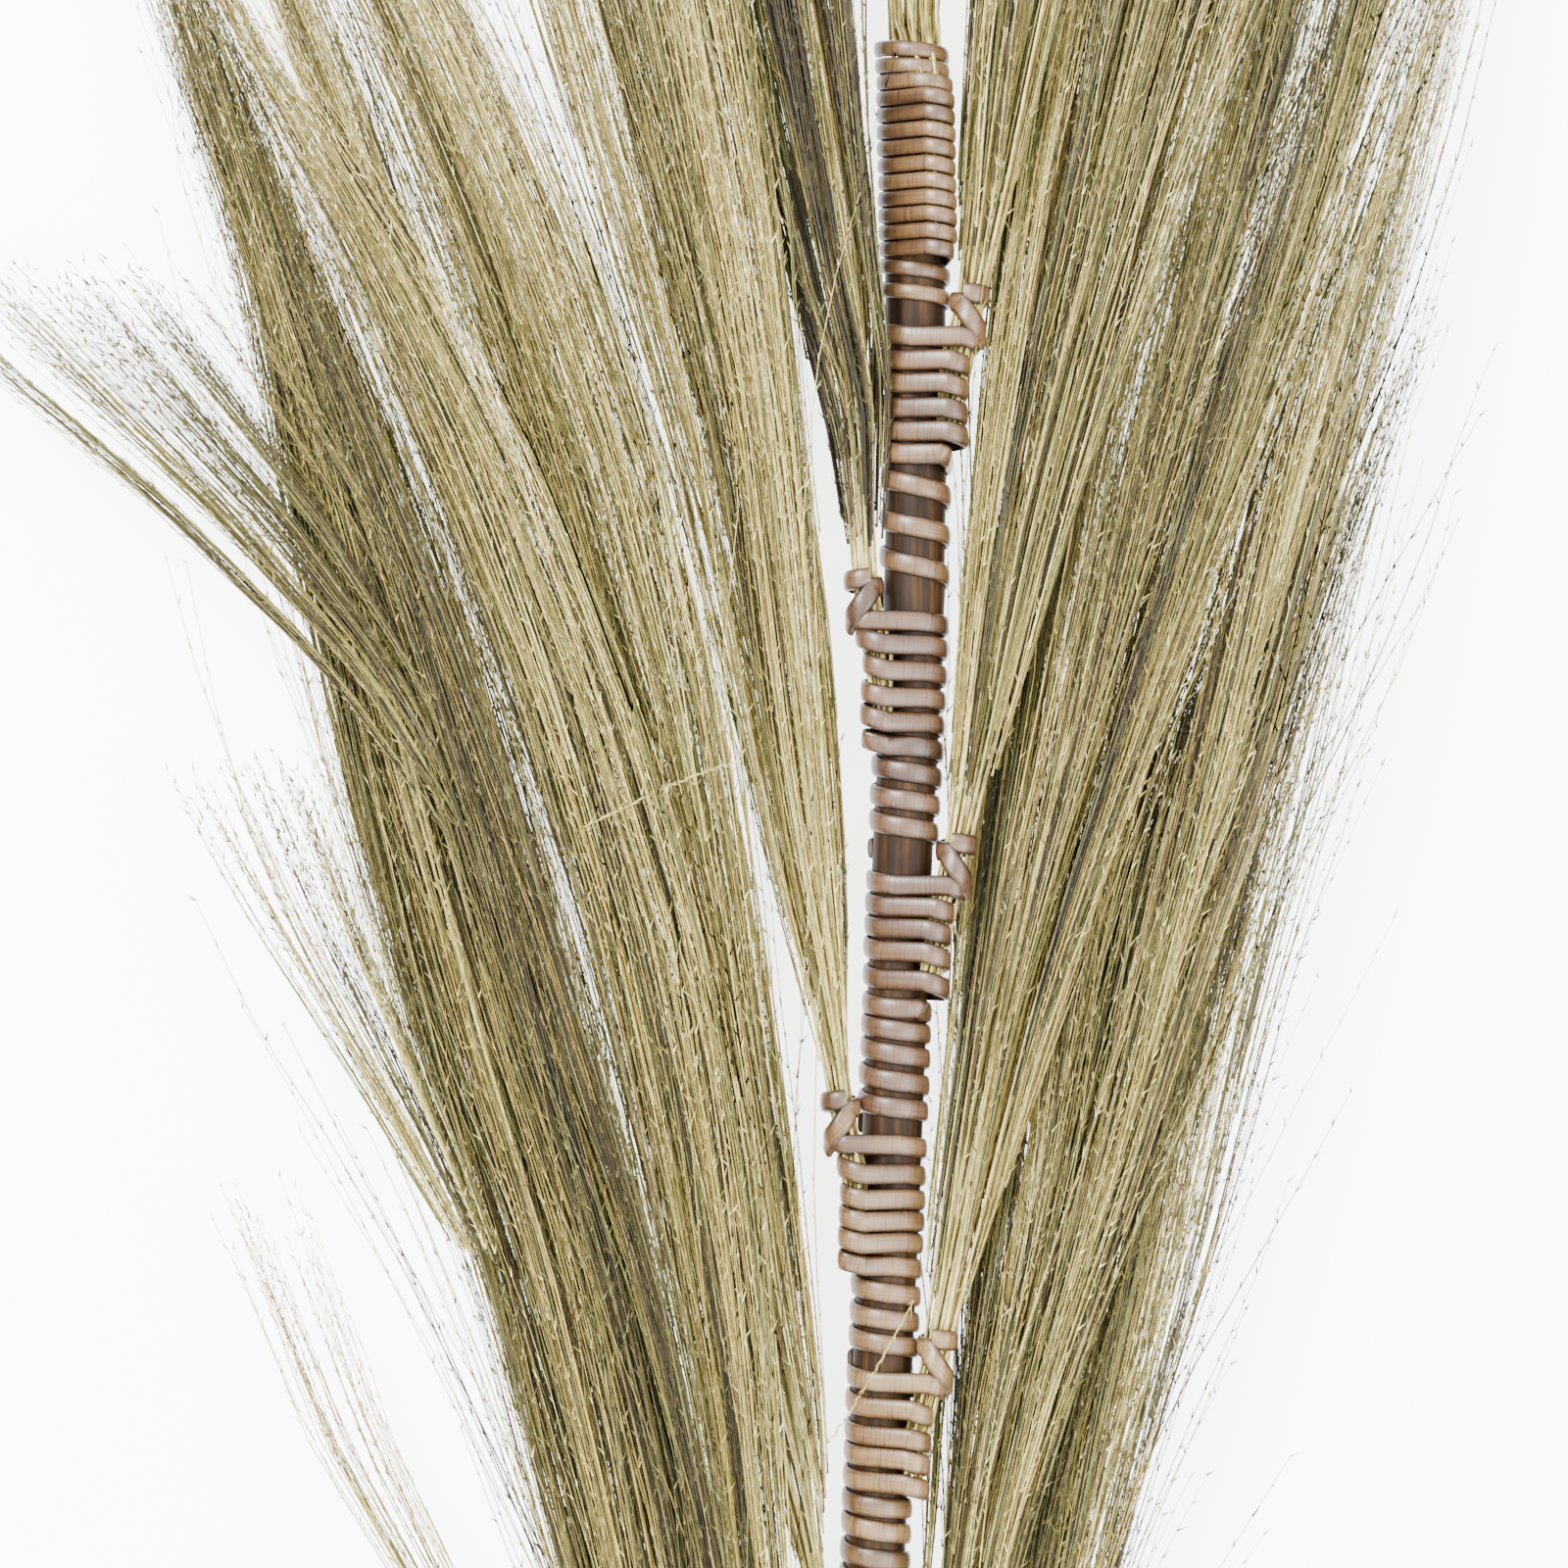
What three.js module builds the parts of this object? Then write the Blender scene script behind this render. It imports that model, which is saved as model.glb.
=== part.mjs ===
// A decoration of dried rayung grass, lying on a surface: tufts of long plumes are tied up both
// sides of a cane rod with split rattan, and one more tuft carries on past the rod's top end.
// Millimetres, +Z up. The rod lies along Y with its bare handle at the -Y end.
import * as THREE from "three";
import { LoftGeometry } from "three/addons/geometries/LoftGeometry.js";

// ---------- driving dimensions ----------

const rodRadius = 9.3;
const handleLength = 118; // bare rod below the lowest tuft
const tuftStep = 78; // usual distance from one neck to the next, on the other side
const topNeckRise = 18; // the top tuft's neck stands this far past the rod's end
const topButtLength = 62;
const topNeckOver = 0.7; // the top tuft fills its binding this much beyond the rod's radius

const buttRadius = 4.3; // a tuft's cut straws, bound along the rod
const buttLength = 36;
const neckRadius = 4.5; // where a side tuft leaves the rod
const plumeLength = 620; // from neck to tip, on a full-length tuft
const plumeHalfWidth = 44; // the widest half width of a plume
const plumeHalfDepth = 9.5; // the thickest half thickness of a plume
const plumeSpread = 0.125; // half width gained per millimetre of plume
const plumeTilt = THREE.MathUtils.degToRad(38); // plumes lie on each other like tilted slats
const layerGap = 1.2; // clear space between neighbouring plumes

const stripWidth = 5;
const stripThickness = 1.5;
const tightPitch = stripWidth + 1.1; // winding over a butt
const openPitch = stripWidth + 5.5; // winding over the bare rod
const topPitch = stripWidth + 0.6; // close winding under the top tuft
const collarTurns = 1.15; // round the neck of each side tuft
const fitGap = 0.35; // between a strip and what it is wound round
const collarPitch = stripWidth + fitGap;
const collarLength = collarTurns * collarPitch + stripWidth;
const collarRise = 1; // from where a tuft leaves the rod to the foot of its collar
const neckLength = collarRise + collarLength + fitGap; // straight, before the plume fans out
const rodDrop = 8.1; // the rod's axis below the middle of the plumes that hold it up

const ringPoints = 12; // points round a plume or the rod
const wrapSides = 10; // flat sides in one turn of strip

// ---------- where the tufts are ----------
// gap: distance from the neck above, in tuft steps. lean: sideways run per length at the neck.
// bow: how much the lean grows with length, per metre. length: share of the full plume length.
// flare: how far the tip curls outwards.

const sideTufts = [
  { name: "right_1", side: 1, gap: 1.12, lean: 0.15, bow: 0.12, length: 0.98, flare: 15 },
  { name: "left_1", side: -1, gap: 1.12, lean: 0.06, bow: 0.15, length: 0.97, flare: 12 },
  { name: "right_2", side: 1, gap: 1.04, lean: 0.17, bow: 0.11, length: 1.0, flare: 20 },
  { name: "left_2", side: -1, gap: 1.01, lean: 0.12, bow: 0.22, length: 1.0, flare: 18 },
  { name: "right_3", side: 1, gap: 0.94, lean: 0.19, bow: 0.1, length: 1.02, flare: 25 },
  { name: "left_3", side: -1, gap: 1.02, lean: 0.16, bow: 0.24, length: 1.0, flare: 25 },
  { name: "right_4", side: 1, gap: 0.96, lean: 0.17, bow: 0.12, length: 0.98, flare: 22 },
  { name: "left_4", side: -1, gap: 0.92, lean: 0.16, bow: 0.2, length: 1.02, flare: 30 },
  { name: "right_5", side: 1, gap: 0.92, lean: 0.15, bow: 0.12, length: 0.96, flare: 20 },
  { name: "left_5", side: -1, gap: 0.9, lean: 0.17, bow: 0.16, length: 1.12, flare: 62 },
];

// Height of a plume's centreline: its widest part just touches the surface.
const plumeHeight = Math.hypot(
  plumeHalfWidth * Math.sin(plumeTilt),
  plumeHalfDepth * Math.cos(plumeTilt),
);

// ---------- the rod ----------

const rodHeight = plumeHeight - rodDrop;
const stepsBelowTop = sideTufts.reduce((sum, tuft) => sum + tuft.gap, 0);
const topNeckY = handleLength + buttLength + stepsBelowTop * tuftStep;
const rodLength = topNeckY - topNeckRise;

// The cane is not quite straight: sideways offsets of its axis along its length.
const rodBends = new THREE.CatmullRomCurve3(
  [
    [-9, 0],
    [-9, 0.27],
    [-6, 0.5],
    [0, 0.66],
    [2, 0.73],
    [6.5, 0.83],
    [6.8, 0.92],
    [5.6, 1],
  ].map(([x, share]) => new THREE.Vector3(x, share * rodLength, 0)),
);
const rodSamples = rodBends.getPoints(200);

function rodX(y) {
  const above = rodSamples.findIndex((p) => p.y >= y);
  if (above < 0) return rodSamples.at(-1).x;
  if (above === 0) return rodSamples[0].x;
  const a = rodSamples[above - 1];
  const b = rodSamples[above];
  return THREE.MathUtils.mapLinear(y, a.y, b.y, a.x, b.x);
}

function rodGeometry() {
  const stations = 16;
  const bevel = 1;
  const sections = [];
  for (let i = 0; i <= stations; i++) {
    sections.push([(rodLength * i) / stations, rodRadius]);
  }
  // The sawn ends have a slightly worn edge.
  sections[0] = [bevel, rodRadius];
  sections[stations] = [rodLength - bevel, rodRadius];
  sections.unshift([0, rodRadius - bevel]);
  sections.push([rodLength, rodRadius - bevel]);
  return new LoftGeometry(
    sections.map(([y, r]) => ellipse(rodX(y), y, rodHeight, r, r, 0)),
    { capStart: true, capEnd: true },
  );
}

// A ring of points in a plane across Y: half axes a and b, turned by tilt about Y, left side down.
function ellipse(x, y, z, a, b, tilt) {
  const ring = [];
  for (let i = 0; i < ringPoints; i++) {
    const angle = (-2 * Math.PI * i) / ringPoints;
    const u = a * Math.cos(angle);
    const v = b * Math.sin(angle);
    ring.push(
      new THREE.Vector3(
        x + u * Math.cos(tilt) - v * Math.sin(tilt),
        y,
        z + u * Math.sin(tilt) + v * Math.cos(tilt),
      ),
    );
  }
  return ring;
}

// ---------- the tufts ----------

const smooth = THREE.MathUtils.smoothstep;
const lerp = THREE.MathUtils.lerp;

const boundRadius = rodRadius + fitGap + stripThickness; // of the wound rod
const topNeckRadius = rodRadius + topNeckOver;
const buttOut = rodRadius + buttRadius + fitGap; // axis to axis, while bound
const neckOut = rodRadius + stripThickness + neckRadius + 3 * fitGap;
const buttAngle = THREE.MathUtils.degToRad(47); // above the side, round the rod
const neckAngle = THREE.MathUtils.degToRad(20);
const topAngle = THREE.MathUtils.degToRad(62);
const neckTurn = 16; // length over which a tuft swings from the rod's front to its side
const fallLength = 90; // length over which a plume turns to its lying tilt
const tipStart = 0.68; // share of a plume's length where it begins to taper
const tipShare = 0.3; // width left at the tip

const tufts = [];
{
  let neckY = topNeckY;
  tufts.push({ name: "top", side: 0, lean: 0, bow: 0.02, length: 0.97, flare: 0, neckY });
  for (const tuft of sideTufts) {
    neckY -= tuft.gap * tuftStep;
    tufts.push({ ...tuft, neckY });
  }
}
for (const tuft of tufts) {
  tuft.reach = tuft.length * plumeLength;
  tuft.butt = tuft.side ? buttLength : topButtLength;
}

// Across the bundle at one height, from left to right.
const acrossOrder = [
  ...tufts.filter((t) => t.side < 0).reverse(),
  tufts[0],
  ...tufts.filter((t) => t.side > 0),
];

// 0 up to where a plume begins to taper, 1 at its tip.
const tipward = (tuft, d) => Math.max((d / tuft.reach - tipStart) / (1 - tipStart), 0);

function plumeX(tuft, d) {
  const start = tuft.side ? neckOut * Math.cos(neckAngle) : 0;
  const bowed = tuft.lean * d + (tuft.bow * d * d) / 1000;
  const curled = tuft.flare * tipward(tuft, d) ** 2;
  return rodX(tuft.neckY) + (tuft.side || 1) * (start + bowed + curled);
}

const plumeTaper = (tuft, d) => lerp(1, tipShare, tipward(tuft, d) ** 2);

const tiltAt = (d) => plumeTilt * smooth(d, neckLength, fallLength);

function plumeFan(tuft, d) {
  const start = tuft.side ? neckRadius : topNeckRadius;
  const fanned = start + plumeSpread * Math.max(d - neckLength, 0);
  return Math.min(fanned, plumeHalfWidth) * plumeTaper(tuft, d);
}

// Half width, kept clear of the bound rod, or of the top tuft's neck, beside it.
function plumeHalf(tuft, d) {
  const fan = plumeFan(tuft, d);
  const pastTop = tuft.neckY + d - topNeckY;
  if (!tuft.side || pastTop > fallLength) return fan;
  const inside = pastTop > 0 ? plumeFan(tufts[0], pastTop) : boundRadius;
  const clear = Math.abs(plumeX(tuft, d) - rodX(tuft.neckY + d)) - inside - layerGap;
  return Math.max(Math.min(fan, clear / Math.cos(tiltAt(d))), neckRadius);
}

function plumeZ(tuft, d) {
  const start = rodHeight + (tuft.side ? neckOut * Math.sin(neckAngle) : 0);
  return lerp(start, plumeHeight, smooth(d, neckLength, fallLength));
}

// Half thickness: what the neighbouring slats at the same height leave free.
function plumeDepth(tuft, d) {
  const y = tuft.neckY + d;
  const full = lerp(
    tuft.side ? neckRadius : topNeckRadius,
    plumeHalfDepth * plumeTaper(tuft, d),
    smooth(d, neckLength, fallLength),
  );
  const place = acrossOrder.indexOf(tuft);
  let depth = full;
  for (const other of [acrossOrder[place - 1], acrossOrder[place + 1]]) {
    if (!other) continue;
    const od = y - other.neckY;
    if (od < 0 || od > other.reach) continue;
    const dx = plumeX(other, od) - plumeX(tuft, d);
    const dz = plumeZ(other, od) - plumeZ(tuft, d);
    const tilt = Math.min(tiltAt(d), tiltAt(od));
    const apart = Math.abs(dz * Math.cos(tilt) - dx * Math.sin(tilt));
    if (tiltAt(d) > 0.5 * plumeTilt && tiltAt(od) > 0.5 * plumeTilt) {
      depth = Math.min(depth, (apart - layerGap) / 2);
    }
  }
  return depth;
}

// Centre of the bound straws, from the rod's axis, in the plane across Y.
function buttCentre(tuft, y) {
  const t = smooth(y, tuft.neckY - neckTurn, tuft.neckY);
  const angle = lerp(buttAngle, neckAngle, t);
  const out = lerp(buttOut, neckOut, t);
  return { x: tuft.side * out * Math.cos(angle), z: out * Math.sin(angle) };
}

function tuftGeometry(tuft) {
  const sections = [];
  const bottom = tuft.neckY - tuft.butt;
  if (tuft.side) {
    const swing = [1, 0.75, 0.5, 0.25].map((share) => tuft.neckY - share * neckTurn);
    for (const y of [bottom, ...swing]) {
      const c = buttCentre(tuft, y);
      sections.push(
        ellipse(rodX(y) + c.x, y, rodHeight + c.z, buttRadius, buttRadius, 0),
      );
    }
  } else {
    // Past the rod's end the straws close in over it and fill the binding.
    const x = buttOut * Math.cos(topAngle);
    const z = buttOut * Math.sin(topAngle);
    for (const y of [bottom, rodLength + fitGap]) {
      sections.push(ellipse(rodX(y) + x, y, rodHeight + z, buttRadius, buttRadius, 0));
    }
    const y = lerp(rodLength, tuft.neckY, 0.55);
    sections.push(ellipse(rodX(y), y, rodHeight, rodRadius, rodRadius, 0));
  }
  sections.push(plumeSection(tuft, 0));
  const fanEnd = tipStart * tuft.reach;
  for (const share of [0, 0.06, 0.13, 0.22, 0.34, 0.49, 0.66, 0.83, 1]) {
    sections.push(plumeSection(tuft, lerp(neckLength, fanEnd, share)));
  }
  for (const share of [0.33, 0.62, 0.86, 1]) {
    sections.push(plumeSection(tuft, lerp(fanEnd, tuft.reach, share)));
  }
  return new LoftGeometry(sections, { capStart: true, capEnd: true });
}

function plumeSection(tuft, d) {
  return ellipse(
    plumeX(tuft, d),
    tuft.neckY + d,
    plumeZ(tuft, d),
    plumeHalf(tuft, d),
    plumeDepth(tuft, d),
    tiltAt(d),
  );
}

// ---------- the split rattan ----------

const settleLength = 7; // past a butt the winding comes down to the bare rod over this length

// What a strip is wound round at y: circles in the plane across Y, placed from the rod's axis.
function boundCircles(tuft, y) {
  const closed = lerp(rodRadius, topNeckRadius, smooth(y, rodLength, topNeckY));
  const circles = [{ x: 0, z: 0, r: closed }];
  const bottom = tuft.neckY - tuft.butt - stripWidth - openPitch / wrapSides;
  const t = smooth(y, bottom - settleLength, bottom);
  const c = tuft.side
    ? buttCentre(tuft, y)
    : { x: buttOut * Math.cos(topAngle), z: buttOut * Math.sin(topAngle) };
  circles.push({ x: c.x * t, z: c.z * t, r: lerp(0, neckRadius, t) });
  return circles;
}

function collarCircles(tuft, y) {
  const d = y - tuft.neckY;
  const x = plumeX(tuft, d) - rodX(y);
  return [{ x, z: plumeZ(tuft, d) - rodHeight, r: neckRadius }];
}

// A flat strip wound down from yTop to yBottom. Each turn is a polygon that stands fitGap off
// the circles, and the strip runs down from left to right across the front.
function strip(circlesAt, yTop, yBottom, pitchAt, firstAngle) {
  const step = (2 * Math.PI) / wrapSides;
  const corner = (y, k, offset) => {
    const reach = (angle) =>
      offset +
      Math.max(
        ...circlesAt(y).map((c) => c.x * Math.cos(angle) + c.z * Math.sin(angle) + c.r),
      );
    const angle = firstAngle - k * step;
    const h = reach(angle);
    const along = (h * Math.cos(step) - reach(angle - step)) / Math.sin(step);
    return new THREE.Vector3(
      rodX(y) + h * Math.cos(angle) - along * Math.sin(angle),
      y,
      rodHeight + h * Math.sin(angle) + along * Math.cos(angle),
    );
  };
  const half = stripWidth / 2;
  const sections = [];
  let y = yTop - half;
  for (let k = 0; y - half > yBottom; k++) {
    sections.push([
      corner(y + half, k, fitGap + stripThickness),
      corner(y - half, k, fitGap + stripThickness),
      corner(y - half, k, fitGap),
      corner(y + half, k, fitGap),
    ]);
    y -= pitchAt(y) / wrapSides;
  }
  return new LoftGeometry(sections, { capStart: true, capEnd: true });
}

// ---------- assembly ----------

const bundle = new THREE.Group();

function addPiece(name, geometry, color, roughness) {
  const mesh = new THREE.Mesh(
    geometry,
    new THREE.MeshStandardMaterial({ color, roughness, metalness: 0 }),
  );
  mesh.name = name;
  bundle.add(mesh);
}

addPiece("cane_rod", rodGeometry(), 0x5e4630, 0.55);

const strawColors = [0xada276, 0xb5a873, 0xa39a72, 0x9c9670];
tufts.forEach((tuft, i) => {
  addPiece(`tuft_${tuft.name}`, tuftGeometry(tuft), strawColors[i % strawColors.length], 0.9);
});

const stripColor = 0xb18f6a;
tufts.forEach((tuft, i) => {
  const next = tufts[i + 1];
  const bottom = tuft.neckY - tuft.butt;
  const close = tuft.side ? tightPitch : topPitch;
  const end = next ? next.neckY + neckLength : bottom - 3 * tightPitch;
  const pitchAt = (y) => (next ? lerp(openPitch, close, smooth(y, bottom - 12, bottom)) : close);
  addPiece(
    `binding_${tuft.name}`,
    strip((y) => boundCircles(tuft, y), tuft.neckY + fitGap, end, pitchAt, 0),
    stripColor,
    0.45,
  );
  if (tuft.side) {
    const foot = tuft.neckY + collarRise;
    addPiece(
      `collar_${tuft.name}`,
      strip(
        (y) => collarCircles(tuft, y),
        foot + collarLength,
        foot,
        () => collarPitch,
        Math.PI / 2,
      ),
      stripColor,
      0.45,
    );
  }
});

// The origin is under the middle of the bundle, on the surface it lies on.
const box = new THREE.Box3().setFromObject(bundle, true);
const centre = box.getCenter(new THREE.Vector3());
bundle.position.set(-centre.x, -centre.y, -box.min.z);

const part = new THREE.Group();
part.add(bundle);

export default part;
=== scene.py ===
# %% [markdown]
# # Rayung grass tied to a cane rod
# Tufts of rayung, a tall grass whose flower plumes are cut and dried whole, are tied up both sides
# of a cane rod with split rattan, and one more tuft carries on past the rod's top. The CAD model
# gives every tuft a smooth solid. Here each tuft becomes what it is: a handful of straws that
# branch into fine stems, with husks along them.

# %% Load the frame
import math

import bpy
import numpy as np
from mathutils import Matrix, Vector


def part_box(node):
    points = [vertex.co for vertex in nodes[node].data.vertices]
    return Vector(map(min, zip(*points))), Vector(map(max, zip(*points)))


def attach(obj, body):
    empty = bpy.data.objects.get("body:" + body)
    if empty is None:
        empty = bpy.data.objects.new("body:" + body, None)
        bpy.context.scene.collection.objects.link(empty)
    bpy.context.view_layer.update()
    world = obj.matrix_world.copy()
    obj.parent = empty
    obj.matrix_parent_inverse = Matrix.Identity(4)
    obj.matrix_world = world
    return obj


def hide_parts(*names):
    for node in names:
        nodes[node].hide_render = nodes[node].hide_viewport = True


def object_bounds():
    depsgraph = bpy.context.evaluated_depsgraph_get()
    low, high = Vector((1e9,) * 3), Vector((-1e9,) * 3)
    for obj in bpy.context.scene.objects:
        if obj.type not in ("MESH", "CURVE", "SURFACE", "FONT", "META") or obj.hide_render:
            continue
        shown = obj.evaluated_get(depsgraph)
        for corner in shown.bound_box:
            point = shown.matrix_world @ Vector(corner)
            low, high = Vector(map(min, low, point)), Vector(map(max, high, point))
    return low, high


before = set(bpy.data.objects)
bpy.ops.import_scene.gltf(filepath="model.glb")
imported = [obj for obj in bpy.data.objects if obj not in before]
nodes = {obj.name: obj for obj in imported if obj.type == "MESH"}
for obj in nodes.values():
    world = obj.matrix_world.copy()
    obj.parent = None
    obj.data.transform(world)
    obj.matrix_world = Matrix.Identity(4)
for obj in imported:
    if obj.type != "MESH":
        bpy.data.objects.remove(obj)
cad_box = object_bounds()
TUFTS = ["top"] + [f"{side}_{i}" for i in range(1, 6) for side in ("right", "left")]
print(len(nodes), "nodes;", "CAD box", [[round(v, 4) for v in c] for c in cad_box])

# %% [markdown]
# ## Adding nodes
# A node tree is easier to read as a list of what each node takes in. `put` adds one node: its settings
# go in by name, and each input is either a value or the output of another node. Colours are picked on a
# screen, so they are written as screen colours and turned to linear ones.


# %% Colours and nodes
def linear(hex_colour):
    """An sRGB hex colour as linear RGBA."""
    channels = [int(hex_colour[i : i + 2], 16) / 255 for i in (1, 3, 5)]
    return [c / 12.92 if c <= 0.04045 else ((c + 0.055) / 1.055) ** 2.4 for c in channels] + [1]


def put(tree, kind, inputs=(), stops=(), **settings):
    """Adds a node with its settings and links.

    inputs gives a socket, by its order or its name, a value, a node or an output to link, or a
    list of nodes. stops are the places and colours of a colour ramp.
    """
    node = tree.nodes.new(kind)
    for key, value in settings.items():
        setattr(node, key, value)
    for _ in stops[2:]:
        node.color_ramp.elements.new(0.5)
    for element, (place, colour) in zip(node.color_ramp.elements if stops else (), stops):
        element.position = place
        element.color = linear(colour)
    for key, value in inputs.items() if isinstance(inputs, dict) else enumerate(inputs):
        if isinstance(key, str):
            socket = next(s for s in node.inputs if s.name == key and s.enabled)
        else:
            socket = node.inputs[key]
        for source in value if isinstance(value, list) else [value]:
            if isinstance(source, bpy.types.Node):
                source = next(s for s in source.outputs if s.enabled)
            if isinstance(source, bpy.types.NodeSocket):
                tree.links.new(source, socket)
            else:
                socket.default_value = source
    return node


print("white is", linear("#ffffff"))

# %% [markdown]
# ## Growing a piece
# Every piece is grown the same way. A guide mesh holds the line to follow, with what varies along
# it stored as attributes. A Geometry Nodes tree on the guide makes the piece, and the result is
# taken out as a plain mesh, because the export knows only plain meshes.


# %% Trees, guides and growing
def new_group(name, sockets):
    """A Geometry Nodes tree with a Geometry input and output and the named inputs."""
    tree = bpy.data.node_groups.new(name, "GeometryNodeTree")
    tree.interface.new_socket("Geometry", in_out="INPUT", socket_type="NodeSocketGeometry")
    for label, kind in sockets.items():
        tree.interface.new_socket(label, in_out="INPUT", socket_type="NodeSocket" + kind)
    tree.interface.new_socket("Geometry", in_out="OUTPUT", socket_type="NodeSocketGeometry")
    return tree, tree.nodes.new("NodeGroupInput").outputs


def grow(name, guide, tree, values):
    """Runs a Geometry Nodes tree on a guide mesh and returns the result as a plain mesh object."""
    holder = bpy.data.objects.new(name, guide)
    bpy.context.scene.collection.objects.link(holder)
    modifier = holder.modifiers.new("grow", "NODES")
    modifier.node_group = tree
    for item in tree.interface.items_tree:
        if item.in_out == "INPUT" and item.name in values:
            modifier[item.identifier] = values[item.name]
    graph = bpy.context.evaluated_depsgraph_get()
    mesh = bpy.data.meshes.new_from_object(holder.evaluated_get(graph))
    holder.modifiers.remove(modifier)
    holder.data = mesh
    mesh.name = name
    print(f"{name}: {sum(len(p.vertices) - 2 for p in mesh.polygons)} triangles")
    return holder


def guide_mesh(name, lines, **attributes):
    """Lines of points, with a vector attribute for each point, for a tree to follow."""
    mesh = bpy.data.meshes.new(name)
    points, edges = [], []
    for line in lines:
        edges += [(len(points) + k, len(points) + k + 1) for k in range(len(line) - 1)]
        points += [tuple(point) for point in line]
    mesh.from_pydata(points, edges, [])
    for label, values in attributes.items():
        values = np.array(values, np.float32)
        mesh.attributes.new(label, "FLOAT_VECTOR", "POINT").data.foreach_set("vector", values.ravel())
    return mesh


def length_of(line):
    """The length of a line of points."""
    return float(np.linalg.norm(np.diff(np.array(line), axis=0), axis=1).sum())


# %% [markdown]
# ## Reading the CAD solids
# Each CAD tuft is a stack of rings across the Y axis. A ring's middle is the tuft's centreline,
# and its long and short axes say how wide and thick the plume is there and how far it leans over
# its neighbour. The rod is read the same way.


# %% Rings of a CAD node
def rings(node):
    """Centre, half width, half thickness and tilt of each ring of a CAD solid, from -Y to +Y."""
    points = np.array([v.co for v in nodes[node].data.vertices])
    found = []
    for y in np.unique(points[:, 1].round(5)):
        ring = np.unique(points[abs(points[:, 1] - y) < 2e-5].round(6), axis=0)
        if len(ring) < 12:
            continue
        flat = ring[:, [0, 2]]
        middle = flat.mean(0)
        size, axes = np.linalg.eigh(np.cov((flat - middle).T, bias=True) * 2)
        b, a = np.sqrt(size)
        wide = axes[:, 1] * (1 if axes[0, 1] > 0 else -1)
        tilt = math.atan2(wide[1], wide[0]) if a > 1.1 * b else 0.0
        found.append((middle[0], y, middle[1], a, b, tilt))
    return np.array(found)


tuft_rings = {name: rings(f"tuft_{name}") for name in TUFTS}
rod_rings = rings("cane_rod")
rod_radius = rod_rings[2, 3]
print("rod radius", round(rod_radius, 5), "rings per tuft", {k: len(v) for k, v in tuft_rings.items()})


# %% [markdown]
# ## Finishes
# All three finishes are natural and uneven. Each starts from one colour, which is then darkened by
# layers of noise, as dirt, age and the grain do on the real thing. Two marks are painted shade instead:
# the darkening towards a rattan strip's edges, and the darkest tones of the grass. Noise is stretched
# along the grain, so its scale is given in grains per metre each way, or per unit of a piece's own map.


# %% Helpers for a finish
def new_material(name):
    """A material, its node tree and its surface node."""
    material = bpy.data.materials.new(name)
    material.use_nodes = True
    return material, material.node_tree, material.node_tree.nodes["Principled BSDF"]


def grain(tree, where, scale, detail, roughness=0.5):
    """Noise stretched by the scale each way."""
    place = put(tree, "ShaderNodeMapping", {"Vector": where, "Scale": scale})
    texture = {"Vector": place, "Scale": 1.0, "Detail": detail, "Roughness": roughness}
    return put(tree, "ShaderNodeTexNoise", texture)


def darkened(tree, colour, layers):
    """A colour multiplied by layers: each is what it follows, its colours and its strength."""
    for factor, stops, strength in layers:
        layer = put(tree, "ShaderNodeValToRGB", (factor,), stops=stops)
        mixing = {"Factor": strength, "A": colour, "B": layer}
        colour = put(tree, "ShaderNodeMix", mixing, data_type="RGBA", blend_type="MULTIPLY")
    return colour


def finish(tree, surface, colour, roughness, specular):
    """Sets a surface's colour, roughness and specular level."""
    tree.links.new(next(s for s in colour.outputs if s.enabled), surface.inputs["Base Color"])
    surface.inputs["Roughness"].default_value = roughness
    surface.inputs["Specular IOR Level"].default_value = specular


# %% [markdown]
# ## Dried grass
# Dried rayung is straw: pale gold on the stalks, khaki along the stems and a grey green where the
# husks are youngest. A plume shows all of these side by side, because each stem dries on its own.
# Straw has a thin waxy skin, so it is rather rough with a weak sheen. The material reads the
# strand's own map: across it runs the stem's tone, and along it runs the distance from the stem's
# foot, where husks break the colour up every 3 mm or so.

# %% Material: dried grass
dried_grass, tree, surface = new_material("dried_rayung_grass")
strand_map = put(tree, "ShaderNodeUVMap", uv_map="OFBake")
# The dark end of this ramp is partly painted shade: the darkest stems stand for the shadow streaks
# between stems.
TONE_AND_SHADE_COLOURS = [
    (0.0, "#241a06"),  # darkest: old straw and painted shade between the stems
    (0.2, "#40370f"),  # olive
    (0.4, "#5c5a2e"),  # grey green
    (0.6, "#7b753c"),  # khaki
    (0.8, "#9c8640"),  # gold
    (1.0, "#cdc486"),  # pale straw
]
place = put(tree, "ShaderNodeSeparateXYZ", (strand_map,))
colour = put(tree, "ShaderNodeValToRGB", (place.outputs["X"],), stops=TONE_AND_SHADE_COLOURS)
flecks = grain(tree, strand_map, (90, 60, 1), 2.0, roughness=0.6)  # husks, along each stem
drying = grain(tree, strand_map, (48, 0.6, 1), 1.0)  # stem by stem, browner or greener
layers = [
    (flecks, [(0.3, "#77745c"), (0.48, "#cfcbb4"), (0.66, "#ffffff")], 0.85),
    (drying, [(0.32, "#f3d5a6"), (0.46, "#ffffff"), (0.66, "#e2efd6")], 0.7),
]
finish(tree, surface, darkened(tree, colour, layers), roughness=0.62, specular=0.35)
print("dried grass:", len(tree.nodes), "nodes")

# %% [markdown]
# ## A strand tree
# Stems in a tuft are alike: each starts somewhere up the tuft, follows it for a while and drifts
# a little out of its clump. They could be hair curves, but hair can't carry husks or be exported.
# So one small tree makes any number of them. A straight line is copied once per stem, and every
# point of every copy is then moved to its place beside the guide. Numbers drawn at random come
# from the stem's own number, so a seed always gives the same tuft.

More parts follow.
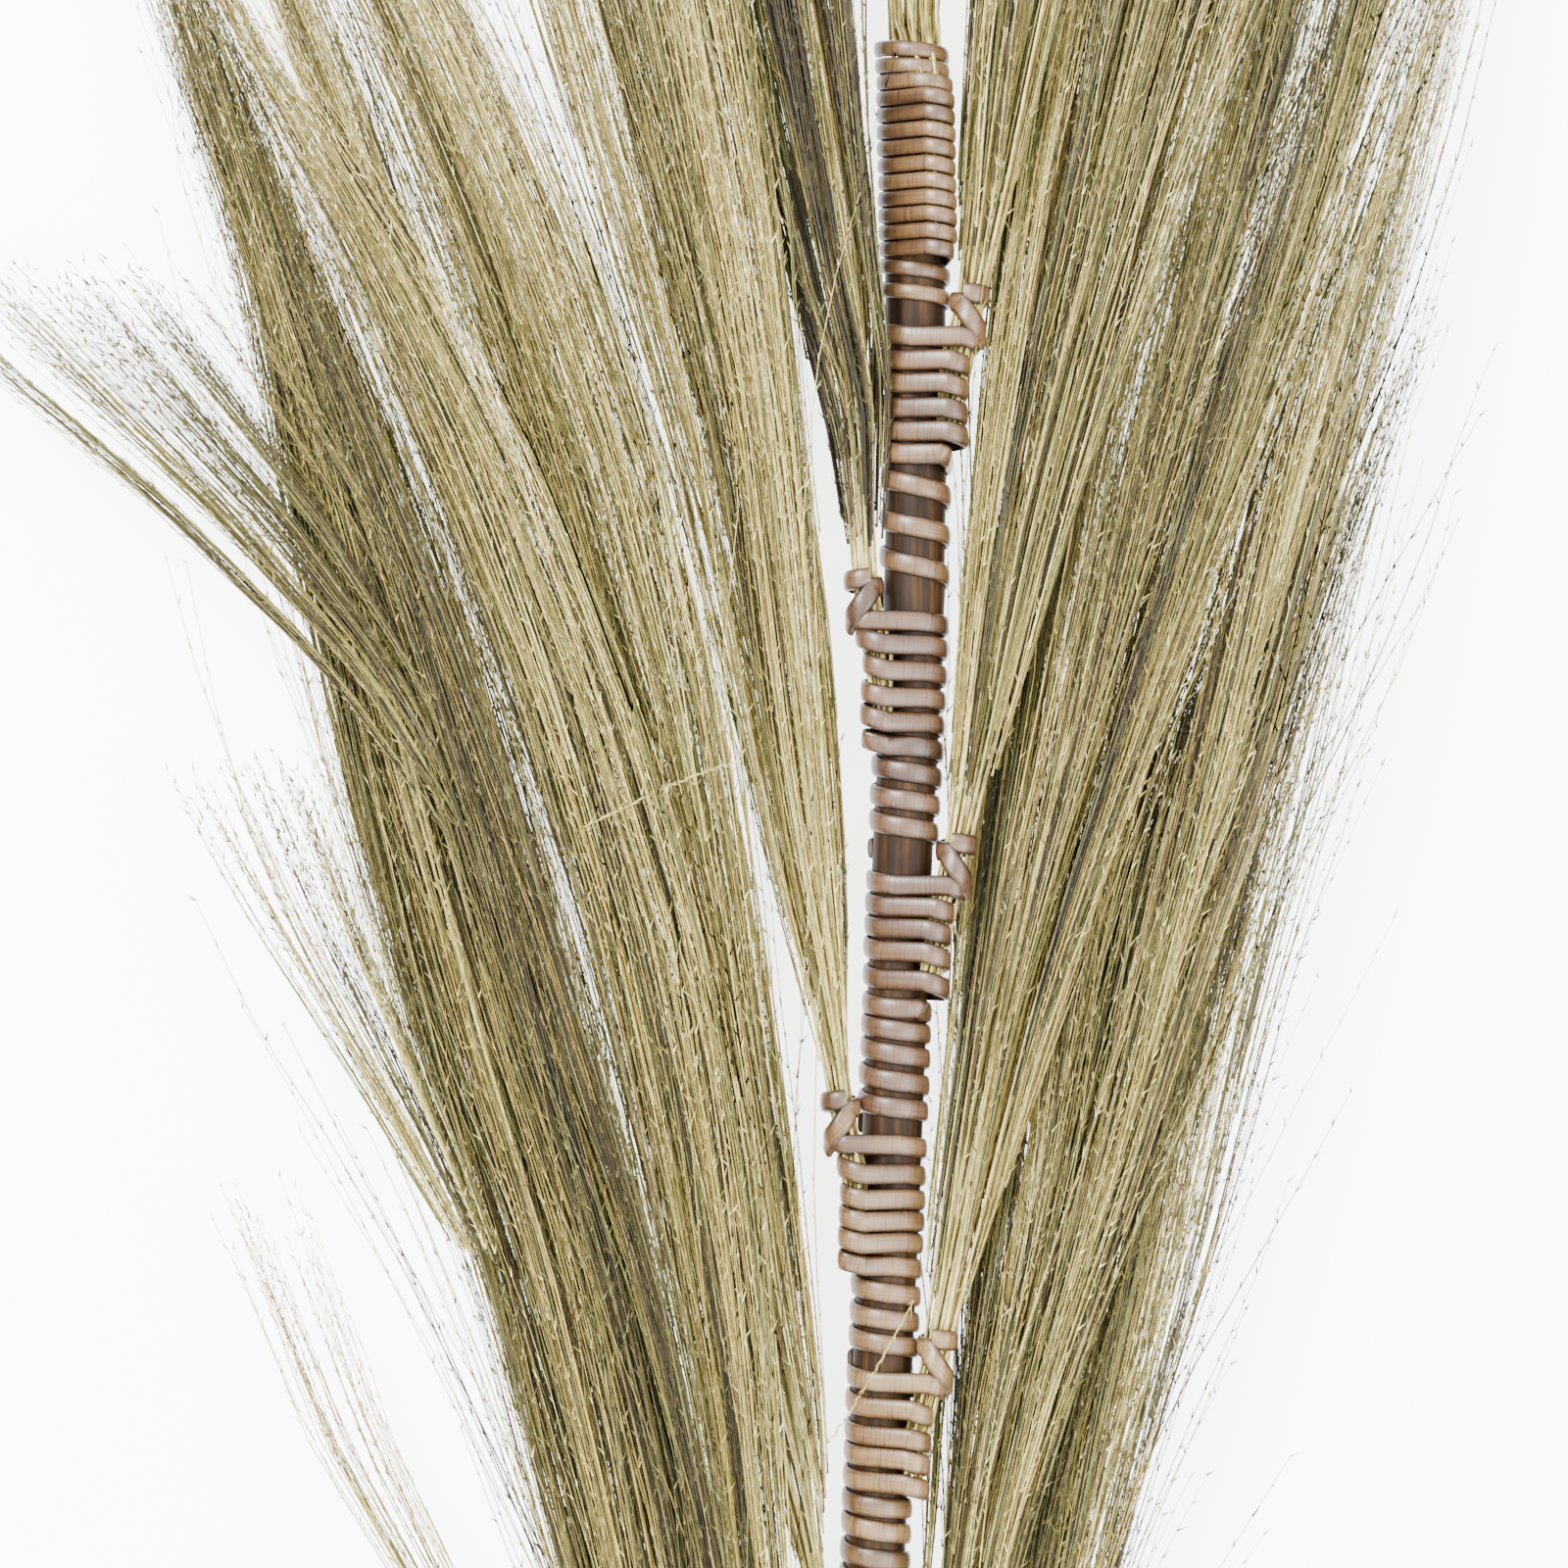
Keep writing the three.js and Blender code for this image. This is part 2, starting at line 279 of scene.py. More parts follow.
# %% Geometry Nodes: copies of a line, and their random numbers
strands, given = new_group(
    "strands_along_a_guide",
    {
        "Seed": "Int",
        "Count": "Int",
        "Steps": "Int",
        "Clumps": "Int",
        "Start": "Float",
        "Start Range": "Float",
        "Length": "Float",
        "Length Range": "Float",
        "Looseness": "Float",
        "Spread": "Float",
        "Fullness": "Float",
        "Wave": "Float",
        "Radius": "Float",
        "Tone": "Float",
        "Tone Range": "Float",
    },
)
line = put(strands, "GeometryNodeCurvePrimitiveLine", {"End": (0, 0, 1)})
line = put(strands, "GeometryNodeResampleCurve", {"Curve": line, "Count": given["Steps"]})
places = put(strands, "GeometryNodeMeshLine", {"Count": given["Count"]})
copies = put(strands, "GeometryNodeInstanceOnPoints", {"Points": places, "Instance": line})
copies = put(strands, "GeometryNodeRealizeInstances", (copies,))
along = put(strands, "GeometryNodeSplineParameter").outputs["Factor"]
number = put(strands, "GeometryNodeCurveOfPoint").outputs["Curve Index"]
# A tuft has fewer than 10,000 stems and 777 clumps, so no two tufts share a number.
strand_id = put(strands, "ShaderNodeMath", (given["Seed"], 10000.0, number), operation="MULTIPLY_ADD")

# What is drawn for each strand and for each clump: a seed, and the least and most it can be.
STRAND_DRAWS = {
    "clump": (1, 0.0, 0.9999),
    "turn": (4, 0.0, 2 * math.pi),
    "step": (5, 0.05, 1.0),
    "start": (6, 0.0, 1.0),
    "length": (7, 0.0, 1.0),
    "ripple": (8, 0.0, 900.0),
    "girth": (9, 0.7, 1.3),
    "tone": (11, -0.5, 0.5),
    "stray": (12, 0.0, 1.0),
}
CLUMP_DRAWS = {
    "turn": (2, 0.0, 2 * math.pi),
    "out": (3, 0.0, 1.0),
    "tone": (10, -0.5, 0.5),
}
strand = {}
for label, (seed, low, high) in STRAND_DRAWS.items():
    draw = {"Min": low, "Max": high, "ID": strand_id, "Seed": seed}
    strand[label] = put(strands, "FunctionNodeRandomValue", draw)
clump_number = put(strands, "ShaderNodeMath", (strand["clump"], given["Clumps"]), operation="MULTIPLY")
clump_number = put(strands, "ShaderNodeMath", (clump_number,), operation="FLOOR")
clump_id = put(strands, "ShaderNodeMath", (given["Seed"], 777.0, clump_number), operation="MULTIPLY_ADD")
clump = {}
for label, (seed, low, high) in CLUMP_DRAWS.items():
    draw = {"Min": low, "Max": high, "ID": clump_id, "Seed": seed}
    clump[label] = put(strands, "FunctionNodeRandomValue", draw)
print("strand tree so far:", len(strands.nodes), "nodes")

# %% [markdown]
# ### Where a stem stands in its tuft
# A clump has one place in the tuft's outline. Each of its stems starts a small step away from it,
# and that step grows towards the tip, as a real plume opens. A few stems stray much further. The
# guide says how wide and thick the tuft is at each height and how far it leans.

# %% Geometry Nodes: every point's place
start = (given["Start Range"], strand["start"], given["Start"])
start = put(strands, "ShaderNodeMath", start, operation="MULTIPLY_ADD")
length = (given["Length Range"], strand["length"], given["Length"])
length = put(strands, "ShaderNodeMath", length, operation="MULTIPLY_ADD")
distance = put(strands, "ShaderNodeMath", (length, along, start), operation="MULTIPLY_ADD")
hull = put(strands, "GeometryNodeInputNamedAttribute", {"Name": "hull"}, data_type="FLOAT_VECTOR")
sampled = put(
    strands,
    "GeometryNodeSampleCurve",
    {"Curves": given["Geometry"], "Value": hull, "Length": distance},
    data_type="FLOAT_VECTOR",
    mode="LENGTH",
)
outline = put(strands, "ShaderNodeSeparateXYZ", (sampled.outputs["Value"],)).outputs

clump_out = put(strands, "ShaderNodeMath", (clump["out"],), operation="SQRT")
clump_out = put(strands, "ShaderNodeMath", (clump_out, given["Fullness"]), operation="MULTIPLY")
stray = put(strands, "ShaderNodeMath", (strand["stray"], 6.0), operation="POWER")
stray = put(strands, "ShaderNodeMath", (stray, 3.2, 0.4), operation="MULTIPLY_ADD")
step = put(strands, "ShaderNodeMath", (along, 1.4), operation="POWER")
step = put(strands, "ShaderNodeMath", (step, given["Spread"]), operation="MULTIPLY")
step = put(strands, "ShaderNodeMath", (step, stray, given["Looseness"]), operation="MULTIPLY_ADD")
step = put(strands, "ShaderNodeMath", (step, strand["step"]), operation="MULTIPLY")
offset = []
for half_size, wave in zip(outline, ("COSINE", "SINE")):
    own = put(strands, "ShaderNodeMath", (strand["turn"],), operation=wave)
    own = put(strands, "ShaderNodeMath", (own, step), operation="MULTIPLY")
    shared = put(strands, "ShaderNodeMath", (clump["turn"],), operation=wave)
    shared = put(strands, "ShaderNodeMath", (shared, clump_out, own), operation="MULTIPLY_ADD")
    offset.append(put(strands, "ShaderNodeMath", (shared, half_size), operation="MULTIPLY"))
offset = put(strands, "ShaderNodeCombineXYZ", {"X": offset[0], "Z": offset[1]})
lean = put(strands, "ShaderNodeMath", (outline[2], -1.0), operation="MULTIPLY")
offset = put(
    strands, "ShaderNodeVectorRotate", {"Vector": offset, "Angle": lean}, rotation_type="Y_AXIS"
)

# Past the guide's end a stem carries straight on.
past = put(strands, "GeometryNodeCurveLength", (given["Geometry"],))
past = put(strands, "ShaderNodeMath", (distance, past), operation="SUBTRACT")
past = put(strands, "ShaderNodeMath", (past, 0.0), operation="MAXIMUM")
beyond = {0: sampled.outputs["Tangent"], "Scale": past}
beyond = put(strands, "ShaderNodeVectorMath", beyond, operation="SCALE")

# Each stem ripples on its own, more towards its tip.
ripple = put(strands, "ShaderNodeMath", (distance, 9.0), operation="MULTIPLY")
ripple = put(strands, "ShaderNodeCombineXYZ", {"X": ripple, "Y": strand["ripple"]})
ripple = put(strands, "ShaderNodeTexNoise", {"Vector": ripple, "Scale": 1.0, "Detail": 1.0})
ripple = (ripple.outputs["Color"], (0.5, 0.5, 0.5))
ripple = put(strands, "ShaderNodeVectorMath", ripple, operation="SUBTRACT")
ripple_size = put(strands, "ShaderNodeMath", (given["Wave"], along), operation="MULTIPLY")
ripple = put(strands, "ShaderNodeVectorMath", {0: ripple, "Scale": ripple_size}, operation="SCALE")

position = sampled.outputs["Position"]
for shift in (offset, beyond, ripple):
    position = put(strands, "ShaderNodeVectorMath", (position, shift), operation="ADD")
x, y, z = put(strands, "ShaderNodeSeparateXYZ", (position,)).outputs
above_floor = put(strands, "ShaderNodeMath", (z, 0.0006), operation="MAXIMUM")
position = put(strands, "ShaderNodeCombineXYZ", (x, y, above_floor))
placed = put(strands, "GeometryNodeSetPosition", {"Geometry": copies, "Position": position})
print("strand tree so far:", len(strands.nodes), "nodes")

# %% [markdown]
# ### A stem's girth and tone
# A stem thins to its tip. Stems of one clump grew side by side and dried much alike, so a stem's tone is
# partly its clump's and partly its own. Low tones are partly painted shade: dark clumps and stems stand
# for the shaded streaks inside a plume.

# %% Geometry Nodes: every point's girth and tone
girth = put(strands, "ShaderNodeMath", (along, -0.75, 1.0), operation="MULTIPLY_ADD")
girth = put(strands, "ShaderNodeMath", (girth, given["Radius"]), operation="MULTIPLY")
girth = put(strands, "ShaderNodeMath", (girth, strand["girth"]), operation="MULTIPLY")
placed = put(strands, "GeometryNodeSetCurveRadius", {"Curve": placed, "Radius": girth})
own_tone = put(strands, "ShaderNodeMath", (strand["tone"], 1.1), operation="MULTIPLY")
tone = put(strands, "ShaderNodeMath", (clump["tone"], 0.9, own_tone), operation="MULTIPLY_ADD")
tone = (tone, given["Tone Range"], given["Tone"])
tone = put(strands, "ShaderNodeMath", tone, operation="MULTIPLY_ADD")
tone = put(strands, "ShaderNodeClamp", {"Value": tone, "Min": 0.01, "Max": 0.97})
for label, value in {"tone": tone, "along": along}.items():
    placed = put(
        strands,
        "GeometryNodeStoreNamedAttribute",
        {"Geometry": placed, "Name": label, "Value": value},
        data_type="FLOAT",
        domain="POINT",
    )
put(strands, "NodeGroupOutput", (placed,))
print("strand tree:", len(strands.nodes), "nodes")

# %% [markdown]
# ## A plume tree
# A plume is straws first: stiff, pale and few, bound at the foot. From them come the fine stems,
# and along each stem sit husks, slim scales that point up and a little outwards. The plume tree
# calls the strand tree twice, once for the straws and once for the stems, and sweeps both with a
# three-sided section, which is round enough for a stem under a millimetre thick.

# %% Geometry Nodes: a plume's straws and stems
plume, given = new_group(
    "grass_plume",
    {
        "Seed": "Int",
        "Neck": "Float",
        "Reach": "Float",
        "Straws": "Int",
        "Stems": "Int",
        "Clumps": "Int",
        "Husks": "Int",
        "Start Share": "Float",
        "Length Share": "Float",
        "Looseness": "Float",
        "Spread": "Float",
        "Fullness": "Float",
        "Tone": "Float",
        "Tone Range": "Float",
        "Ceiling": "Float",
        "Material": "Material",
    },
)
guide = put(plume, "GeometryNodeMeshToCurve", (given["Geometry"],))

# Lengths that are a share of the plume's reach, and what each is added to.
SHARES = {
    "straw length": (0.35, given["Neck"]),
    "straw length range": (0.35, 0.0),
    "stem start": (0.03, given["Neck"]),
    "stem start range": (given["Start Share"], 0.0),
    "stem length": (given["Length Share"], 0.0),
    "stem length range": (0.12, 0.0),
}
part = {}
for label, (share, base) in SHARES.items():
    part[label] = put(plume, "ShaderNodeMath", (given["Reach"], share, base), operation="MULTIPLY_ADD")

straws = put(
    plume,
    "GeometryNodeGroup",
    {
        "Geometry": guide,
        "Seed": given["Seed"],
        "Count": given["Straws"],
        "Steps": 14,
        "Clumps": given["Straws"],
        "Start": 0.0,
        "Start Range": 0.008,
        "Length": part["straw length"],
        "Length Range": part["straw length range"],
        "Looseness": 0.1,
        "Spread": 0.1,
        "Fullness": 0.84,
        "Wave": 0.003,
        "Radius": 0.00075,
        "Tone": 0.88,
        "Tone Range": 0.16,
    },
    node_tree=strands,
)
stems = put(
    plume,
    "GeometryNodeGroup",
    {
        "Geometry": guide,
        "Seed": given["Seed"],
        "Count": given["Stems"],
        "Steps": 9,
        "Clumps": given["Clumps"],
        "Start": part["stem start"],
        "Start Range": part["stem start range"],
        "Length": part["stem length"],
        "Length Range": part["stem length range"],
        "Looseness": given["Looseness"],
        "Spread": given["Spread"],
        "Fullness": given["Fullness"],
        "Wave": 0.012,
        "Radius": 0.00037,
        "Tone": given["Tone"],
        "Tone Range": given["Tone Range"],
    },
    node_tree=strands,
)
both = put(plume, "GeometryNodeJoinGeometry", {0: [straws, stems]})
section = put(plume, "GeometryNodeCurvePrimitiveCircle", {"Resolution": 3, "Radius": 1.0})
corner = put(plume, "GeometryNodeInputIndex")
ring = put(plume, "ShaderNodeMath", (corner, 0.004), operation="MULTIPLY")
section = put(
    plume,
    "GeometryNodeStoreNamedAttribute",
    {"Geometry": section, "Name": "ring", "Value": ring},
    data_type="FLOAT",
    domain="POINT",
)
thickness = put(plume, "GeometryNodeInputRadius")
sweep = {"Curve": both, "Profile Curve": section, "Scale": thickness, "Fill Caps": True}
swept = put(plume, "GeometryNodeCurveToMesh", sweep)
swept = put(plume, "GeometryNodeSetShadeSmooth", {"Geometry": swept})
print("plume tree so far:", len(plume.nodes), "nodes")

# %% [markdown]
# ### Husks
# The husks give a plume its rough, feathery surface. Each is a thin three-sided cone 2 to 5 mm
# long, so that tens of thousands of them stay light, and it leans out of its stem to one side.

# %% Geometry Nodes: husks along the stems
husk = put(
    plume,
    "GeometryNodeMeshCone",
    {"Vertices": 3, "Radius Top": 0.0, "Radius Bottom": 1.0, "Depth": 1.0},
)
for label, size in {"ring": 0.03, "rise": 0.006}.items():
    spaced = put(plume, "ShaderNodeMath", (corner, size), operation="MULTIPLY")
    husk = put(
        plume,
        "GeometryNodeStoreNamedAttribute",
        {"Geometry": husk, "Name": label, "Value": spaced},
        data_type="FLOAT",
        domain="POINT",
    )
seats = put(
    plume, "GeometryNodeCurveToPoints", {"Curve": stems, "Count": given["Husks"]}, mode="COUNT"
)
HUSK_DRAWS = {
    "lean": (21, 0.2, 0.75),
    "spin": (22, 0.0, 6.28),
    "length": (23, 0.002, 0.0046),
    "radius": (24, 0.00026, 0.00042),
}
drawn = {}
for label, (seed, low, high) in HUSK_DRAWS.items():
    draw = {"Min": low, "Max": high, "Seed": seed}
    drawn[label] = put(plume, "FunctionNodeRandomValue", draw)
turned = put(plume, "ShaderNodeCombineXYZ", {"X": drawn["lean"], "Z": drawn["spin"]})
turned = put(plume, "FunctionNodeEulerToRotation", (turned,))
turned = put(
    plume, "FunctionNodeRotateRotation", (seats.outputs["Rotation"], turned), rotation_space="LOCAL"
)
size = put(plume, "ShaderNodeCombineXYZ", (drawn["radius"], drawn["radius"], drawn["length"]))
husks = put(
    plume,
    "GeometryNodeInstanceOnPoints",
    {"Points": seats, "Instance": husk, "Rotation": turned, "Scale": size},
)
whole = put(plume, "GeometryNodeJoinGeometry", {0: [swept, husks]})
whole = put(plume, "GeometryNodeRealizeInstances", (whole,))
print("plume tree so far:", len(plume.nodes), "nodes")

# %% [markdown]
# ### The strand's own map
# The plume lies on the floor and is no thicker than its neighbours, so points above or below are
# brought back. Then tone and place along the stem are stored as the map that the material reads.
# Each side of a stem or husk has a small step of its own on it, so that no face has a flat map.

# %% Geometry Nodes: the plume's map and material
x, y, z = put(plume, "ShaderNodeSeparateXYZ", (put(plume, "GeometryNodeInputPosition"),)).outputs
level = put(plume, "ShaderNodeClamp", (z, 0.0003, given["Ceiling"]))
level = put(plume, "ShaderNodeCombineXYZ", (x, y, level))
whole = put(plume, "GeometryNodeSetPosition", {"Geometry": whole, "Position": level})
read = {
    label: put(plume, "GeometryNodeInputNamedAttribute", {"Name": label}, data_type="FLOAT")
    for label in ("tone", "ring", "along", "rise")
}
u = put(plume, "ShaderNodeMath", (read["tone"], read["ring"]), operation="ADD")
v = put(plume, "ShaderNodeMath", (read["along"], 0.98, read["rise"]), operation="MULTIPLY_ADD")
strand_place = put(plume, "ShaderNodeCombineXYZ", (u, v))
whole = put(
    plume,
    "GeometryNodeStoreNamedAttribute",
    {"Geometry": whole, "Name": "OFBake", "Value": strand_place},
    data_type="FLOAT2",
    domain="CORNER",
)
for label in read:
    whole = put(plume, "GeometryNodeRemoveAttribute", {"Geometry": whole, "Name": label})
last = {"Geometry": whole, "Material": given["Material"]}
put(plume, "NodeGroupOutput", (put(plume, "GeometryNodeSetMaterial", last),))
print("plume tree:", len(plume.nodes), "nodes")

# %% [markdown]
# ## The tufts
# Eleven tufts come from the one tree. Each has its CAD rings for a guide and numbers of its own: how
# dark it is, partly its dried colour and partly painted shade, how full it is and how far its tip bends
# away from the solid, which is plainer than the grass. Lengths are in metres, and a tone runs from 0,
# darkest, old straw and painted shade, to 1, pale straw.

# %% Grow the tufts
BUNCH = {
    "Straws": 30,
    "Stems": 1150,
    "Clumps": 22,
    "Husks": 22,
    "Start Share": 0.62,
    "Length Share": 0.3,
    "Looseness": 0.12,
    "Spread": 0.5,
    "Fullness": 1.2,
    "Tone Range": 0.88,
    "Ceiling": cad_box[1][2] + 0.008,
    "Material": dried_grass,
}
# A tuft's tone is partly its dried colour and partly painted shade: the darker tufts stand for shadowed
# parts of the bundle.
OWN = {
    "top": {"Tone": 0.4, "Straws": 60},
    "left_1": {"Tone": -0.1, "Fullness": 1.5, "Stems": 1270},
    "left_2": {"Tone": 0.74, "Fullness": 1.1},
    "left_3": {"Tone": 0.68},
    "left_4": {"Tone": 0.56},
    "left_5": {"Tone": 0.34, "Fullness": 1.0, "Spread": 0.75},
    "right_1": {"Tone": 0.46},
    "right_2": {"Tone": 0.6},
    "right_3": {"Tone": 0.64},
    "right_4": {"Tone": 0.55},
    "right_5": {"Tone": 0.26, "Fullness": 0.95, "Spread": 0.75},
}
# How much longer than its solid a plume is, and how far its tip and its body stand aside, towards
# +X. The left solids curl outwards to take in the strays too, and their grass is straighter.
STRETCH = {"left_5": 1.14, "left_4": 1.08}
TIP_ASIDE = {"left_5": 0.075, "left_4": 0.02, "left_3": 0.01}
ASIDE = {
    "left_5": 0.02,
    "left_4": 0.012,
    "left_2": 0.006,
    "left_1": -0.033,
    "right_4": -0.008,
    "right_5": -0.01,
}
TIP_SHARE = 0.32  # the tip is this share of a plume's reach
for i, name in enumerate(TUFTS):
    ring = tuft_rings[name]
    neck = next(k for k in range(len(ring)) if ring[k, 3] > 1.05 * ring[k, 4] or k > 5)
    line = ring[:, :3].copy()
    foot = length_of(line[:neck])
    reach = length_of(line) - foot
    tipward = np.clip((line[:, 1] - line[-1, 1]) / (TIP_SHARE * reach) + 1, 0, 1)
    upward = np.clip((line[:, 1] - line[neck, 1] - 0.06) / 0.3, 0, 1)
    line[:, 0] += TIP_ASIDE.get(name, 0) * tipward**2 + ASIDE.get(name, 0) * upward
    numbers = {"Seed": 11 + i, "Neck": foot, "Reach": reach * STRETCH.get(name, 1)}
    guide_data = guide_mesh(f"guide_{name}", [line], hull=ring[:, 3:6])
    grass = grow(f"grass_{name}", guide_data, plume, BUNCH | OWN[name] | numbers)
    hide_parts(f"tuft_{name}")
    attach(grass, "root")

# %% [markdown]
# ### Strays
# Three groups of stems have worked loose on the left: a wide flat fan, a thin fringe below it and a
# few pale wisps lower down. They are the same plume tree on guides of their own, with few stems
# and no straws. Each guide starts inside a tuft, so no stray hangs in the air.

# %% Grow the strays
WIDE_FAN = [
    (-0.082, -0.085, 0.03),
    (-0.112, -0.03, 0.034),
    (-0.147, 0.017, 0.036),
    (-0.184, 0.058, 0.036),
    (-0.217, 0.094, 0.034),
]
FRINGE = [
    (-0.082, -0.215, 0.028),
    (-0.108, -0.16, 0.032),
    (-0.134, -0.108, 0.032),
    (-0.157, -0.056, 0.03),
]
LOW_WISPS = [
    (-0.045, -0.4, 0.024),
    (-0.084, -0.34, 0.026),
    (-0.122, -0.27, 0.026),
    (-0.153, -0.19, 0.024),
]
FLATNESS = 0.3  # a group's thickness as a share of its width
# Each group's middle line, its half widths along that line, its stems and clumps, and its tone.
STRAYS = {
    "left": (WIDE_FAN, [0.01, 0.02, 0.034, 0.047, 0.057], 210, 34, 0.42),
    "fringe": (FRINGE, [0.006, 0.013, 0.022, 0.03], 70, 26, 0.5),
    "low": (LOW_WISPS, [0.004, 0.01, 0.016, 0.02], 36, 16, 0.95),
}
SCATTERED = BUNCH | {
    "Straws": 0,
    "Neck": 0.0,
    "Start Share": 0.12,
    "Length Share": 0.8,
    "Looseness": 0.03,
    "Spread": 0.1,
    "Fullness": 0.95,
    "Tone Range": 0.7,
}
for i, (name, (line, widths, stem_count, clumps, tone)) in enumerate(STRAYS.items()):
    reach = 0.967 * length_of(line)
    numbers = {"Seed": 41 + i, "Reach": reach, "Stems": stem_count, "Clumps": clumps, "Tone": tone}
    hull = [(width, FLATNESS * width, 0) for width in widths]
    guide_data = guide_mesh(f"guide_strays_{name}", [line], hull=hull)
    strays = grow(f"grass_strays_{name}", guide_data, plume, SCATTERED | numbers)
    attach(strays, "root")

# %% [markdown]
# ### Single loose stems
# Four stems have come away altogether: two pale ones lie across the tufts and the winding, and two
# dark ones stand in the gap between the rod and the right tufts. Each is a plume of one stem.

# %% Grow the loose stems
# Where each lies, its tone and the seed of its husks.
LOOSE = {
    "across": ([(-0.053, -0.078, 0.057), (-0.03, -0.068, 0.059), (-0.004, -0.06, 0.057)], 0.9, 51),
    "over_rod": ([(0.049, -0.221, 0.034), (0.036, -0.242, 0.038), (0.022, -0.264, 0.034)], 0.85, 52),
    "dark": ([(0.064, 0.1, 0.03), (0.067, 0.01, 0.026), (0.069, -0.095, 0.022)], 0.06, 53),
    "dark_low": ([(0.062, 0.06, 0.03), (0.064, 0.0, 0.026), (0.065, -0.06, 0.022)], 0.12, 54),
}
ALONE = SCATTERED | {
    "Stems": 1,
    "Clumps": 1,
    "Husks": 26,
    "Start Share": 0.0,
    "Length Share": 0.9,
    "Looseness": 0.0,
    "Spread": 0.0,
    "Fullness": 0.0,
    "Tone Range": 0.0,
}
for name, (line, tone, seed) in LOOSE.items():
    guide_data = guide_mesh(f"guide_loose_{name}", [line], hull=[(0.002, 0.001, 0)] * len(line))
    numbers = {"Seed": seed, "Reach": length_of(line), "Tone": tone}
    stem = grow(f"loose_stem_{name}", guide_data, plume, ALONE | numbers)
    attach(stem, "root")

# %% [markdown]
# ## The cane rod's finish
# The rod is a length of cane, smoked or stained dark and rubbed smooth, so it is nearly matt with a
# faint sheen. Its fibres run along it, and the stain takes more in some than in others, so its
# streaks are 2 mm wide and several centimetres long. Handling has worn it in larger blotches.

# %% Material: dark cane
dark_cane, tree, surface = new_material("dark_cane")
where = put(tree, "ShaderNodeTexCoord").outputs["Object"]
streaks = grain(tree, where, (420, 14, 420), 5.0)
blotches = grain(tree, where, (60, 35, 60), 3.0)
STAIN = [(0.28, "#140b05"), (0.45, "#22160a"), (0.58, "#322210"), (0.75, "#46321c")]
colour = put(tree, "ShaderNodeValToRGB", (streaks,), stops=STAIN)
layers = [(blotches, [(0.35, "#8c7466"), (0.62, "#ffffff")], 0.8)]
finish(tree, surface, darkened(tree, colour, layers), roughness=0.5, specular=0.1)
relief = put(tree, "ShaderNodeBump", {"Strength": 0.25, "Distance": 0.0004, "Height": streaks})
tree.links.new(relief.outputs[0], surface.inputs["Normal"])
print("dark cane:", len(tree.nodes), "nodes")

# %% [markdown]
# ## The cane rod
# The tree sweeps a round section along the rod's own axis and swells it a little at each node of
# the cane. The CAD rod would do but for its flat facets, and a sweep gives the same line smoothly.

# %% Geometry Nodes: a cane rod
cane, given = new_group(
    "cane_rod", {"Radius": "Float", "Node Spacing": "Float", "Swell": "Float", "Material": "Material"}
)
axis = put(cane, "GeometryNodeMeshToCurve", (given["Geometry"],))
axis = put(cane, "GeometryNodeResampleCurve", {"Curve": axis, "Length": 0.004}, mode="LENGTH")
run = put(cane, "GeometryNodeSplineParameter").outputs["Length"]
phase = put(cane, "ShaderNodeMath", (run, given["Node Spacing"]), operation="PINGPONG")
swell = put(
    cane,
    "ShaderNodeMapRange",
    {"Value": phase, "From Min": 0.0, "From Max": 0.006, "To Min": given["Swell"], "To Max": 0.0},
)
girth = put(cane, "ShaderNodeMath", (given["Radius"], swell), operation="ADD")
section = put(cane, "GeometryNodeCurvePrimitiveCircle", {"Resolution": 48, "Radius": 1.0})
sweep = {"Curve": axis, "Profile Curve": section, "Scale": girth, "Fill Caps": True}
body = put(cane, "GeometryNodeCurveToMesh", sweep)
body = put(cane, "GeometryNodeSetShadeSmooth", {"Geometry": body})
body = put(cane, "GeometryNodeRealizeInstances", (body,))
body = put(cane, "GeometryNodeSetMaterial", {"Geometry": body, "Material": given["Material"]})
put(cane, "NodeGroupOutput", (body,))

rod = grow(
    "dark_cane_rod",
    guide_mesh("guide_rod", [rod_rings[:, :3]]),
    cane,
    {"Radius": float(rod_radius), "Node Spacing": 0.19, "Swell": 0.0003, "Material": dark_cane},
)
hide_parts("cane_rod")
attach(rod, "root")

# %% [markdown]
# ## Split rattan's finish
# Rattan is split lengthwise into strips, and the outer side keeps the skin of the vine: fine ticks
# across it under a millimetre apart, fibres along it, a darker patch every few centimetres and a
# gloss on the round, where the skin is waxy. Strips are tan when new and go purplish brown with
# age and handling. The finish reads how far along and across the strip a point is, in metres.

# %% Material: split rattan
split_rattan, tree, surface = new_material("split_rattan")
run, side, age = (
    put(tree, "ShaderNodeAttribute", attribute_name=label).outputs["Fac"]
    for label in ("run", "across", "age")
)
skin = put(tree, "ShaderNodeCombineXYZ", (run, side, age))
AGE_COLOURS = [
    (0.0, "#675134"),  # warm tan
    (0.5, "#574232"),  # purplish brown
    (1.0, "#7c6644"),  # pale tan
]
colour = put(tree, "ShaderNodeValToRGB", (age,), stops=AGE_COLOURS)
